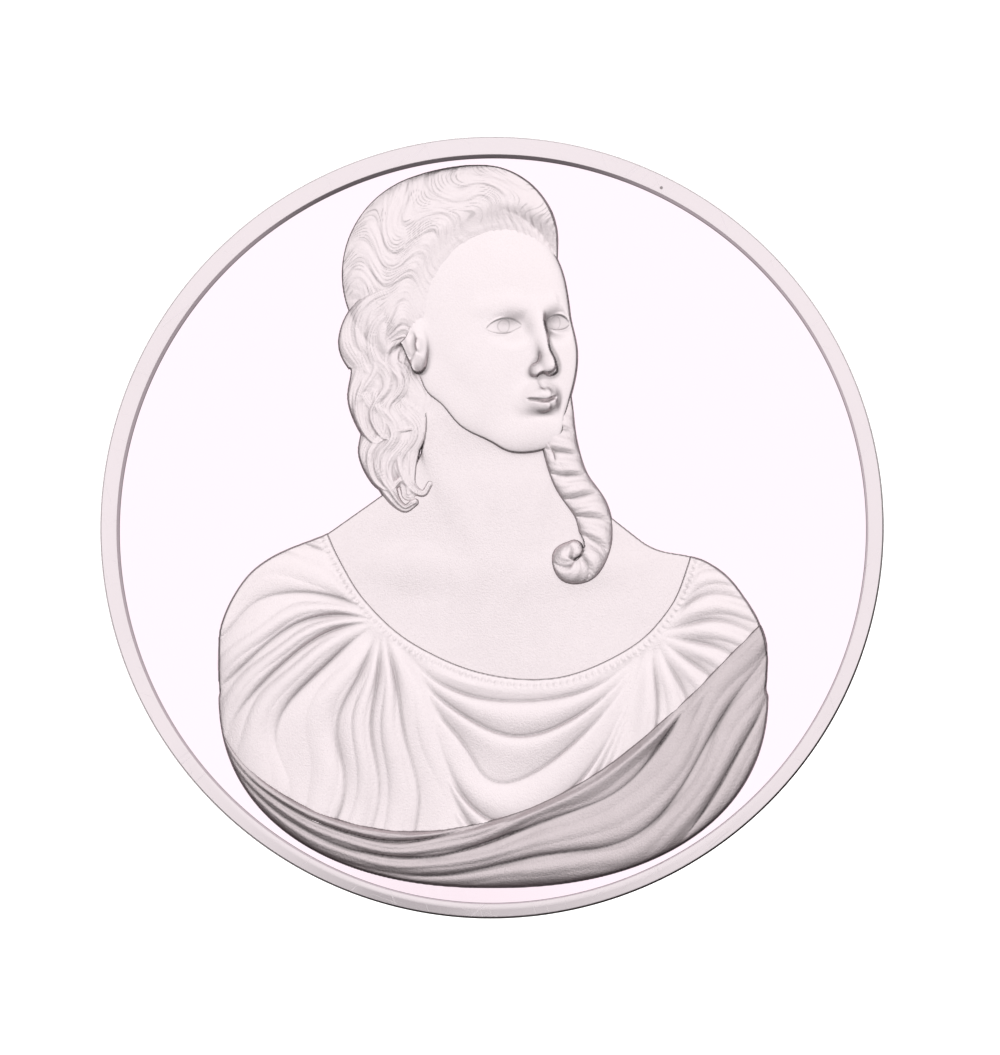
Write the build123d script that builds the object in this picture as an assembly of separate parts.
from build123d import *
import os
from collections import namedtuple

import numpy as np

# A struck silver table medal: a round blank with a raised rim and a mirror field on both faces,
# and on the front the relief of a lady's draped bust, her head turned to the viewer's right.
# It lies on its back: +Z is out of the front face and +Y is the top of the design.

# Driving sizes of the blank, in millimetres
medal_diameter = 51.0
rim_thickness = 3.6
front_rim_width = 1.10
back_rim_width = 1.10
front_field_depth = 1.00
back_field_depth = 0.50
rim_wall_run = 0.06
edge_bevel = 0.15

# Driving sizes of the relief, in millimetres
bust_margin = 0.50
outline_step = 0.18
cloth_thickness = 0.12
mantle_thickness = 0.16
hem_height = 0.07
lock_lift = 0.12
fold_lift = 0.34
swag_lift = 0.28
side_wall_run = 0.10

# How much of its true depth each form keeps in the relief
head_share = 0.092
feature_share = 0.34
torso_share = 0.068
collar_share = 0.20

# How finely the relief is cut: sections up the bust, and points across each one
head_sections = 44
body_sections = 48
section_points = 46

# The tables measure in parts, of which so many make the bust's reach from the medal's centre.
# Forms of the head are in shares of its height instead, as side, up and forward of its centre.
reach_parts = 24
field_radius = medal_diameter / 2 - front_rim_width
part = (field_radius - bust_margin) / reach_parts
field_top = rim_thickness - front_field_depth
head_parts = 16.2
head_centre = (-0.4, 13.0)
head_yaw = 33.0
head_roll = 4.0

# A paired form is repeated on the other side, and a cut form is taken away
Egg = namedtuple("Egg", "centre half blend paired cut", defaults=(False, False))
Rod = namedtuple("Rod", "start end thick thin blend paired cut", defaults=(False, False))

SKULL = [
    Egg((0.0, 0.100, -0.060), (0.345, 0.405, 0.430), 0.0),
    Egg((0.0, -0.115, 0.115), (0.262, 0.345, 0.283), 0.09),
    Egg((0.0, -0.410, 0.280), (0.116, 0.082, 0.108), 0.12),
    Egg((0.128, -0.140, 0.222), (0.114, 0.120, 0.112), 0.10, True),
    Egg((0.106, -0.255, 0.215), (0.104, 0.120, 0.120), 0.09, True),
    Rod((0.228, -0.205, 0.000), (0.154, -0.322, 0.120), 0.050, 0.050, 0.13, True),
    Rod((0.154, -0.322, 0.120), (0.070, -0.415, 0.240), 0.050, 0.060, 0.12, True),
]
FEATURES = [
    Egg((0.125, -0.004, 0.455), (0.098, 0.060, 0.130), 0.050, True, True),
    Egg((0.058, 0.006, 0.450), (0.030, 0.046, 0.085), 0.045, True, True),
    Rod((0.050, 0.072, 0.340), (0.120, 0.094, 0.322), 0.015, 0.017, 0.060, True),
    Rod((0.120, 0.094, 0.322), (0.205, 0.066, 0.240), 0.017, 0.008, 0.060, True),
    Rod((0.0, 0.070, 0.358), (0.0, -0.140, 0.445), 0.018, 0.021, 0.050),
    Egg((0.0, -0.172, 0.440), (0.031, 0.031, 0.040), 0.035),
    Egg((0.038, -0.188, 0.408), (0.021, 0.023, 0.034), 0.024, True),
    Egg((0.128, -0.004, 0.266), (0.080, 0.080, 0.080), 0.014, True),
    Egg((0.0, -0.300, 0.350), (0.080, 0.060, 0.058), 0.060),
    Rod((0.012, -0.286, 0.402), (0.066, -0.305, 0.364), 0.017, 0.006, 0.022, True),
    Rod((0.004, -0.335, 0.394), (0.050, -0.324, 0.368), 0.021, 0.009, 0.022, True),
]
EAR = [
    Egg((-0.334, -0.040, -0.005), (0.026, 0.110, 0.075), 0.03),
    Egg((-0.368, -0.040, 0.000), (0.022, 0.050, 0.034), 0.015, False, True),
    Egg((-0.350, -0.128, 0.022), (0.024, 0.034, 0.034), 0.02),
]
HAIR_MASS = [
    Egg((-0.080, 0.235, -0.170), (0.410, 0.425, 0.470), 0.0),
    Egg((0.0, 0.395, 0.085), (0.318, 0.268, 0.318), 0.10),
]
TORSO = [
    Rod((-0.6, 8.0, -0.6), (0.6, -3.0, 0.6), 3.80, 4.0, 0.0),
    Rod((-2.4, 2.6, -1.2), (-10.5, -3.4, -1.2), 2.6, 2.8, 2.4),
    Rod((2.8, 2.0, -1.6), (10.3, -3.9, -2.0), 2.6, 2.7, 2.4),
    Egg((-13.0, -7.4, -0.5), (4.4, 5.6, 4.6), 2.2),
    Egg((12.9, -7.4, -1.2), (4.0, 5.4, 4.4), 2.2),
    Egg((0.3, -11.5, 0.0), (13.8, 10.6, 5.6), 3.0),
    Egg((-5.4, -12.6, 3.0), (5.2, 4.9, 4.0), 2.2),
    Egg((6.4, -12.4, 2.8), (5.0, 4.8, 4.0), 2.2),
    Rod((-13.3, -9.0, 0.0), (-13.3, -18.0, -0.5), 4.3, 4.2, 2.0),
    Rod((13.7, -9.0, -1.0), (13.6, -17.0, -1.5), 4.3, 4.2, 2.0),
    Egg((0.0, -18.0, 0.0), (15.0, 8.0, 5.0), 3.0),
]
COLLAR = [
    Rod((-0.6, -3.4, 4.10), (-5.0, -2.9, 2.75), 0.60, 0.60, 1.6),
    Rod((-5.0, -2.9, 2.75), (-10.0, -2.8, 0.1), 0.60, 0.50, 2.0),
    Rod((2.0, -3.5, 4.10), (5.6, -2.9, 2.75), 0.60, 0.60, 1.6),
    Rod((5.6, -2.9, 2.75), (9.6, -3.3, 0.0), 0.60, 0.50, 2.0),
    Rod((-4.2, 6.4, 1.2), (0.0, -2.6, 4.1), 0.70, 0.45, 1.4),
    Rod((3.3, 4.6, 1.2), (1.5, -2.6, 4.1), 0.50, 0.40, 1.2),
]

# Lines and spots of the design, as x and y in parts
HAIRLINE = [(5.3, 13.6), (4.7, 16.0), (3.4, 18.4), (1.0, 19.6), (-1.9, 18.7), (-3.9, 16.3),
            (-4.5, 13.9), (-4.9, 12.4), (-5.9, 11.7), (-7.0, 10.4), (-7.0, 8.4)]
NECKLINE = [(-12.2, 3.2), (-10.9, 0.0), (-9.9, -2.2), (-8.2, -4.9), (-5.2, -7.6), (-0.6, -9.6),
            (4.4, -9.9), (9.0, -8.0), (11.6, -5.4), (12.8, -2.6), (13.2, -0.6), (13.4, 2.4)]
MANTLE_EDGE = [(-18.6, -11.6), (-16.0, -15.6), (-11.4, -18.6), (-5.6, -19.9), (0.8, -19.0),
               (6.8, -16.2), (12.0, -12.0), (16.0, -8.0), (18.8, -5.2)]
COMB_CENTRE = (-0.6, 12.2)
NEAR_GATHER = (-7.2, -6.3)
FAR_GATHER = (10.6, -7.2)
CHIN_LEVEL = 5.0

# The oval in which the bust ends, in parts: half its width, and its heights above and below,
# with the gap that its foot leaves inside the reach
BUST_CENTRE = (0.1, -10.8)
FOOT_GAP = 0.45
BUST_HALF_WIDTH, BUST_ABOVE = 17.9, 34.0
BUST_BELOW = reach_parts - FOOT_GAP + BUST_CENTRE[1]
BUST_SQUARENESS = 2.25

# How far in from its edge the cloth has its hem, and how far in the bust rounds off, in parts
HEM_INSET, HEM_WIDTH = 0.42, 0.30
ROUND_OFF = 2.4

# The first sections in from the top and the bottom of the relief, in parts
END_STEPS = (0.0, 0.06, 0.22, 0.50)

# Waves and folds: how far apart their valleys lie along the measure that they follow, how round
# the crests are, which way they lean, and how much and how widely they sway
Folds = namedtuple("Folds", "spread crest lean lift sway swell seed beat pace")
HAIR_WAVES = Folds(19.0, 0.80, 0.25, lock_lift, 0.26, 4.2, 3, 0.0, 1.0)
NEAR_FOLDS = Folds(27.0, 0.62, 0.35, fold_lift, 0.34, 8.0, 4, 0.30, 16.0)
FAR_FOLDS = Folds(30.0, 0.65, 0.30, swag_lift, 0.24, 6.0, 7, 0.0, 1.0)
SWAG_FOLDS = Folds(2.4, 0.70, -0.45, swag_lift, 0.32, 8.0, 6, 0.25, 1.1)
MANTLE_FOLDS = Folds(0.36, 0.65, 0.35, fold_lift, 0.42, 10.0, 10, 0.0, 1.0)

# Folds that spring from a gather, and how far out and by what share they have bent downwards
Fan = namedtuple("Fan", "gather folds reach bend")
NEAR_FAN = Fan(NEAR_GATHER, NEAR_FOLDS, 14.0, 0.38)
FAR_FAN = Fan(FAR_GATHER, FAR_FOLDS, 9.0, 0.30)

# Loose curls, laid from the back one to the front one
Curl = namedtuple("Curl", "points wide lift bends")
CURLS = [
    Curl([(-4.9, 13.6), (-6.2, 11.0), (-6.4, 7.6), (-6.3, 4.6), (-6.0, 2.2)], 2.70, 0.22, 2),
    Curl([(-5.8, 15.4), (-7.9, 14.2), (-8.6, 12.2), (-8.0, 10.4), (-8.6, 8.4), (-8.3, 6.6),
          (-7.6, 5.6), (-6.9, 5.9)], 1.45, 0.30, 3),
    Curl([(-6.8, 11.4), (-8.0, 9.0), (-7.4, 6.6), (-7.9, 4.8), (-7.5, 3.2), (-6.7, 2.5), (-6.0, 3.0)],
         1.30, 0.28, 3),
    Curl([(-5.6, 10.8), (-6.1, 8.4), (-5.4, 6.4), (-5.9, 4.4), (-5.3, 2.8), (-4.5, 2.2), (-4.0, 2.8)],
         1.25, 0.26, 3),
    Curl([(-6.2, 10.6), (-7.4, 8.0), (-6.5, 5.8), (-7.0, 3.8), (-6.5, 2.0), (-5.7, 1.2), (-5.0, 1.6)],
         1.40, 0.34, 4),
    Curl([(-5.6, 14.4), (-7.4, 12.8), (-7.8, 11.0), (-7.0, 9.2), (-7.6, 7.4), (-7.1, 6.0),
          (-6.3, 5.8)], 1.45, 0.34, 3),
    Curl([(-5.6, 12.6), (-6.5, 11.0), (-6.2, 9.4), (-6.7, 7.8), (-6.1, 6.5), (-5.2, 6.4)], 1.15, 0.32, 3),
]
RINGLET = Curl([(4.1, 9.6), (4.2, 7.4), (4.5, 5.2), (5.2, 3.0), (6.5, 1.0), (6.8, -0.9), (6.2, -2.6),
                (5.1, -2.9), (4.7, -2.0), (5.4, -1.5)], 1.25, 0.46, 7)


def smooth(low, high, value):
    """Rise softly from 0 at the low value to 1 at the high one."""
    t = np.clip((value - low) / (high - low), 0.0, 1.0)
    return t * t * (3.0 - 2.0 * t)


def soft_join(a, b, blend):
    """Join two forms, given by the distance to each, with a soft fillet between them."""
    t = np.clip(0.5 + 0.5 * (b - a) / blend, 0.0, 1.0)
    return b + (a - b) * t - blend * t * (1.0 - t)


def egg_distance(spot, egg, side):
    """Distance from the spots to an egg-shaped form."""
    middle = (egg.centre[0] * side, egg.centre[1], egg.centre[2])
    gaps = [spot[i] - middle[i] for i in range(3)]
    near = np.sqrt(sum((gap / half) ** 2 for gap, half in zip(gaps, egg.half)))
    slope = np.sqrt(sum((gap / half ** 2) ** 2 for gap, half in zip(gaps, egg.half)))
    return near * (near - 1.0) / (slope + 1e-9)


def rod_distance(spot, rod, side):
    """Distance from the spots to a rod with round ends."""
    start = np.array((rod.start[0] * side,) + rod.start[1:])
    run = np.array((rod.end[0] * side,) + rod.end[1:]) - start
    along = sum((spot[i] - start[i]) * run[i] for i in range(3)) / (run @ run)
    along = np.clip(along, 0.0, 1.0)
    gap = np.sqrt(sum((spot[i] - start[i] - along * run[i]) ** 2 for i in range(3)))
    return gap - (rod.thick + (rod.thin - rod.thick) * along)


def model(spot, forms):
    """Distance from the spots to the clay built up from a table of forms."""
    clay = None
    for form in forms:
        distance = egg_distance if isinstance(form, Egg) else rod_distance
        for side in (1, -1) if form.paired else (1,):
            gap = distance(spot, form, side)
            if clay is None:
                clay = gap
            elif form.cut:
                clay = -soft_join(-clay, gap, form.blend)
            else:
                clay = soft_join(clay, gap, form.blend)
    return clay


def turned(x, y, z):
    """Look at the head along its own axes: side, up and forward."""
    yaw, roll = np.radians(head_yaw), np.radians(head_roll)
    across = x * np.cos(roll) + y * np.sin(roll)
    up = y * np.cos(roll) - x * np.sin(roll)
    side = across * np.cos(yaw) - z * np.sin(yaw)
    return side, up, across * np.sin(yaw) + z * np.cos(yaw)


def depth_of(forms, x, y, top, pose=None):
    """Depth at which a straight look down meets the clay, or nan where it misses."""
    z = np.full(x.shape, top)
    met = np.zeros(x.shape, bool)
    close = 0.0015 * top
    for _ in range(44):
        spot = (x, y, z) if pose is None else pose(x, y, z)
        gap = model(spot, forms)
        met |= gap < close
        z = np.where(met | (z < -0.04 * top), z, z - 0.85 * np.maximum(gap, close / 2))
    return np.where(met, z, np.nan)


def head_depth(forms, x, y):
    """Depth of a form of the head, in parts."""
    across, up = (x - head_centre[0]) / head_parts, (y - head_centre[1]) / head_parts
    near = (np.abs(across) < 0.72) & (np.abs(up) < 0.76)
    depth = np.full(x.shape, np.nan)
    depth[near] = depth_of(forms, across[near], up[near], 0.75, turned)
    return depth * head_parts


def drawn(points):
    """A smooth line through the points of a table."""
    p = np.array(points, float)
    p = np.vstack([2 * p[0] - p[1], p, 2 * p[-1] - p[-2]])
    along = np.linspace(0, len(points) - 1, 8 * len(points))
    i = np.minimum(along.astype(int), len(points) - 2)
    t = (along - i)[:, None]
    a, b, c, d = p[i], p[i + 1], p[i + 2], p[i + 3]
    bend, swing = 2 * a - 5 * b + 4 * c - d, 3 * b - a - 3 * c + d
    return b + 0.5 * ((c - a) * t + bend * t ** 2 + swing * t ** 3)


def height_of_line(points, x):
    """How high a drawn line stands over each x, and out of the way past its ends."""
    line = drawn(points)
    return np.interp(x, line[:, 0], line[:, 1], left=99, right=99)


def beside(x, y, line):
    """Share along a drawn line of its nearest spot, and the distance to the left of it."""
    best = np.full(x.shape, np.inf)
    share, left = np.zeros(x.shape), np.zeros(x.shape)
    runs = np.hypot(*np.diff(line, axis=0).T)
    ends = np.concatenate([[0], np.cumsum(runs)]) / runs.sum()
    for k, start in enumerate(line[:-1]):
        run = line[k + 1] - start
        t = np.clip(((x - start[0]) * run[0] + (y - start[1]) * run[1]) / (run @ run), 0, 1)
        dx, dy = x - start[0] - t * run[0], y - start[1] - t * run[1]
        gap = np.hypot(dx, dy)
        nearer = gap < best
        best = np.where(nearer, gap, best)
        share = np.where(nearer, ends[k] + t * (ends[k + 1] - ends[k]), share)
        left = np.where(nearer, np.sign(run[0] * dy - run[1] * dx), left)
    return share, best * left


def wobble(x, y, swell, seed):
    """Smooth unevenness between about -1 and 1, with swells about that wide."""
    total = 0
    for k in range(4):
        turn = 1.7 * seed + 2.4 * k
        wave = (x * np.cos(turn) + y * np.sin(turn)) * np.pi * (0.8 + 0.35 * k) / swell
        total = total + 0.36 * np.sin(wave + 3.1 * seed * (k + 1))
    return total


def fold_height(folds, measure, x, y):
    """Rounded ridges with narrow valleys, one ridge to each spread of the measure."""
    count = measure / folds.spread + folds.sway * wobble(x, y, folds.swell, folds.seed)
    count = count + folds.beat * np.sin(measure / folds.pace)
    across = (count % 1.0) ** np.exp(folds.lean)
    return folds.lift * np.sin(np.pi * across) ** folds.crest


def skin_relief(x, y):
    """Bare neck, shoulders and chest, and how deep the body under the cloth is."""
    body = depth_of(TORSO, x, y, 9.0)
    shown = depth_of(TORSO + COLLAR, x, y, 9.0)
    deep, bones = np.nan_to_num(body).clip(0), np.nan_to_num(shown).clip(0)
    height = outline_step + part * (torso_share * deep + collar_share * (bones - deep))
    return height, deep, ~np.isnan(shown)


def inside_bust(x, y):
    """How far inside the oval that ends the bust each spot lies, in parts."""
    tall = np.where(y > BUST_CENTRE[1], BUST_ABOVE, BUST_BELOW)
    across, up = np.abs(x - BUST_CENTRE[0]) / BUST_HALF_WIDTH, np.abs(y - BUST_CENTRE[1]) / tall
    ratio = (across ** BUST_SQUARENESS + up ** BUST_SQUARENESS) ** (1 / BUST_SQUARENESS)
    return (1 - ratio) * BUST_BELOW


def fan_relief(x, y, fan):
    """Folds of a fan, and the angle at which each spot's fold leaves the gather."""
    dx, dy = x - fan.gather[0], y - fan.gather[1]
    away = np.hypot(dx, dy)
    leaving = np.degrees(np.arctan2(dx, -dy)) / (1 - fan.bend * smooth(0, fan.reach, away))
    knot = 0.5 * fan.folds.lift * np.exp(-(away / 0.9) ** 2)
    return fold_height(fan.folds, leaving, x, y) * smooth(0.3, 3.6, away) + knot, leaving


def swag_relief(x, y, share):
    """Folds that hang in curves between the two gathers."""
    share = np.clip(share, 0.02, 0.98)
    chord = NEAR_GATHER[1] + (FAR_GATHER[1] - NEAR_GATHER[1]) * share
    sag = (chord - y) / (4 * share * (1 - share))
    ends = smooth(0.05, 0.34, share) * smooth(0.06, 0.34, 1 - share)
    return fold_height(SWAG_FOLDS, sag, x, y) * ends


def gown_relief(x, y):
    """Cloth of the gown: a fan from each gather, swags hung between them, and the hem."""
    share = (x - NEAR_GATHER[0]) / (FAR_GATHER[0] - NEAR_GATHER[0])
    near, leaving = fan_relief(x, y, NEAR_FAN)
    far, _ = fan_relief(x, y, FAR_FAN)
    hung = swag_relief(x, y, share) * smooth(14, 40, leaving) * smooth(1.04, 0.94, share)
    folds = np.maximum(near * (1 - smooth(22, 48, leaving)), hung)
    folds = np.maximum(folds, far * smooth(0.90, 1.0, share))
    hem = np.exp(-((height_of_line(NECKLINE, x) - y - HEM_INSET) / HEM_WIDTH) ** 2)
    return cloth_thickness + folds + hem_height * hem


def mantle_relief(x, y):
    """Cloth of the mantle: folds that run along its upper edge, and the roll of that edge."""
    edge = height_of_line(MANTLE_EDGE, x)
    across = np.abs(x - BUST_CENTRE[0]) / (1.02 * BUST_HALF_WIDTH)
    bottom = BUST_CENTRE[1] - BUST_BELOW * np.sqrt(np.clip(1 - across ** BUST_SQUARENESS, 0, 1))
    depth = np.clip((edge - y) / np.maximum(edge - bottom, 1.0), 0, 1.2)
    folds = fold_height(MANTLE_FOLDS, depth + 0.017 * x, x, y) * smooth(0.0, 0.1, depth)
    roll = 1.7 * hem_height * np.exp(-((edge - y - HEM_INSET) / (1.5 * HEM_WIDTH)) ** 2)
    return cloth_thickness + mantle_thickness + folds + roll


def hair_relief(x, y):
    """Waves of the hair, combed back from the hairline, and how far behind it each spot is."""
    dx, dy = x - COMB_CENTRE[0], y - COMB_CENTRE[1]
    angle = (np.degrees(np.arctan2(dy, dx)) + 90) % 360
    line = drawn(HAIRLINE) - COMB_CENTRE
    turns = (np.degrees(np.arctan2(line[:, 1], line[:, 0])) + 90) % 360
    root = np.interp(angle, turns, np.hypot(*line.T))
    behind = np.hypot(dx, dy) - root
    bend = 7.0 * np.sin(1.30 * behind + angle / 33.0) + 5.0 * np.sin(0.5 * behind - angle / 50.0)
    waves = fold_height(HAIR_WAVES, angle + bend * smooth(0, 2.5, behind) - 2.1 * behind, x, y)
    return waves * (0.35 + 0.65 * smooth(-0.1, 1.4, behind)) * smooth(-0.35, 0.35, behind), behind


def curl_relief(x, y, curl):
    """A rounded lock along its drawn line, or nan beside it."""
    share, left = beside(x, y, drawn(curl.points))
    taper = (0.55 + 0.45 * smooth(0.0, 0.4, share)) * (0.25 + 0.75 * smooth(0.0, 0.6, 1 - share))
    across = left / (curl.wide * taper)
    sway = np.sin(curl.bends * np.pi * share)
    leaning = across + 0.34 * sway * (1 - across ** 2)
    dome = np.sqrt(np.clip(1 - leaning ** 2, 0, 1))
    groove = 0.5 + 0.5 * np.cos(np.pi * (2.4 * across + 1.1 * sway + 0.3))
    lift = curl.lift * dome * (0.76 + 0.24 * groove) * (0.2 + 0.8 * smooth(0.0, 0.30, share))
    return np.where(np.abs(across) < 1, lift, np.nan)


def face_relief(x, y):
    """The face and ear, nan beside them, and how far forward the head is, in parts."""
    skull, shown = head_depth(SKULL, x, y), head_depth(SKULL + FEATURES + EAR, x, y)
    plain, forward = np.nan_to_num(skull).clip(0), np.nan_to_num(shown).clip(0)
    height = outline_step + part * (head_share * plain + feature_share * (forward - plain))
    return np.where(np.isnan(shown), np.nan, height), forward


def relief(x, y):
    """Height of the relief over the field at each spot, or 0 where the field is bare."""
    x, y = x / part, y / part
    skin, deep, on_torso = skin_relief(x, y)
    inside = inside_bust(x, y)
    on_bust = (inside > 0) & (on_torso | (y < BUST_CENTRE[1]))
    height = np.where(on_bust, skin, 0.0)
    curls = [curl_relief(x, y, curl) for curl in CURLS]
    for curl in curls:
        height = np.fmax(height, outline_step + curl)
    face, forward = face_relief(x, y)
    height = np.where(np.isnan(face), height, face)

    body = part * torso_share * deep
    rounded = np.sqrt(1 - (1 - np.clip(inside / ROUND_OFF, 0, 1)) ** 2)
    rounded = 1 - (1 - rounded) * smooth(-6.0, -12.0, y)
    for edge, cloth in ((NECKLINE, gown_relief(x, y)), (MANTLE_EDGE, mantle_relief(x, y))):
        worn = on_bust & (y < height_of_line(edge, x))
        height = np.where(worn, outline_step + (body + cloth) * rounded, height)

    mass = np.nan_to_num(head_depth(HAIR_MASS, x, y), nan=-1.0)
    waves, behind = hair_relief(x, y)
    on_hair = (mass > 0) & (mass > forward - 0.16 * (behind > 0.3)) & (behind > -0.35)
    height = np.where(on_hair, outline_step + part * head_share * mass + waves, height)
    under = outline_step + 0.9 * part * head_share * mass.clip(0)
    for curl in curls:
        height = np.where(behind > 0.2, np.fmax(height, under + curl), height)
    ringlet = np.where(np.isnan(face), curl_relief(x, y, RINGLET), np.nan)
    return np.fmax(height, np.maximum(height, outline_step) + ringlet)


def outline_of(levels, side):
    """Where the relief ends to that side of the design at each level."""
    steps = side * np.linspace(1.02, -1.02, 90) * BUST_HALF_WIDTH * part
    x, y = np.meshgrid(steps, levels, indexing="ij")
    first = np.argmax(relief(x.ravel(), y.ravel()).reshape(x.shape) > 0, axis=0)
    bare, met = steps[first - 1], steps[first]
    for _ in range(8):
        middle = (bare + met) / 2
        on = relief(middle, levels) > 0
        bare, met = np.where(on, bare, middle), np.where(on, middle, met)
    return met


def section_levels():
    """Heights of the sections: close together at both ends, and closer on the head than below."""
    x, y = np.meshgrid(np.linspace(-6, 2, 20) * part, np.linspace(22, 24, 80) * part)
    top = y.ravel()[relief(x.ravel(), y.ravel()) > 0].max()
    bottom = (BUST_CENTRE[1] - BUST_BELOW) * part
    chin = CHIN_LEVEL * part
    steps = np.array(END_STEPS) * part
    body = np.linspace(bottom + 1.9 * steps[-1], chin, body_sections, endpoint=False)
    head = np.linspace(chin, top - 1.9 * steps[-1], head_sections)
    return np.concatenate([bottom + steps, body, head, top - steps[::-1]])


def section_points_across(levels):
    """Where the points of each section lie: on the outline, just inside it, and evenly between."""
    left, right = outline_of(levels[1:-1], -1), outline_of(levels[1:-1], 1)
    walls = [np.minimum(side_wall_run * np.hypot(1, np.gradient(edge, levels[1:-1])), part)
             for edge in (left, right)]
    share = np.linspace(0, 1, section_points - 2)[:, None]
    between = (left + walls[0]) * (1 - share) + (right - walls[1]) * share
    x = np.vstack([left, between, right]).T
    first, last = 0.7 * x[0] + 0.3 * x[0].mean(), 0.7 * x[-1] + 0.3 * x[-1].mean()
    return np.vstack([first, x, last])


def section_rows():
    """The points of every section, from the bottom of the relief to its top."""
    levels = section_levels()
    x = section_points_across(levels)
    y = np.repeat(levels[:, None], section_points, axis=1)
    rise = relief(x.ravel(), y.ravel()).reshape(x.shape).clip(0.4 * outline_step)
    rise[[0, -1]] = 0.0
    rise[:, [0, -1]] = 0.0
    return [[Vector(*spot) for spot in zip(*row)] for row in zip(x, y, field_top + rise)]


def relief_faces(rows):
    """Two flat facets between each four neighbours, split along the line that bends least."""
    faces = []
    for low, high in zip(rows[:-1], rows[1:]):
        for a, b, c, d in zip(low[:-1], low[1:], high[1:], high[:-1]):
            if abs(a.Z - c.Z) > abs(b.Z - d.Z):
                a, b, c, d = b, c, d, a
            faces.append(Face(Wire.make_polygon([a, b, c])))
            faces.append(Face(Wire.make_polygon([a, c, d])))
    return faces


def blank_faces(outline):
    """The turned blank: its back field and rim, its edge, its front rim and its front field."""
    radius = medal_diameter / 2
    back_radius = radius - back_rim_width
    profile = Polyline(
        (0, 0, back_field_depth), (back_radius - rim_wall_run, 0, back_field_depth),
        (back_radius, 0, 0), (radius - edge_bevel, 0, 0), (radius, 0, edge_bevel),
        (radius, 0, rim_thickness - edge_bevel), (radius - edge_bevel, 0, rim_thickness),
        (field_radius, 0, rim_thickness), (field_radius - rim_wall_run, 0, field_top))
    turned_blank = Shell.revolve(profile.wire(), 360, Axis.Z)
    rim_foot = Wire.make_circle(field_radius - rim_wall_run, Plane.XY.offset(field_top))
    field = Face(rim_foot, [Wire.make_polygon(outline)])
    return list(turned_blank.faces()) + [field]


def medal():
    """The whole medal as one closed solid."""
    rows = section_rows()
    outline = rows[0] + [row[-1] for row in rows[1:-1]]
    outline += rows[-1][::-1] + [row[0] for row in rows[-2:0:-1]]
    return Solid(Shell(relief_faces(rows) + blank_faces(outline)))


os.makedirs("parts", exist_ok=True)
export_step(medal(), "parts/medal.step")
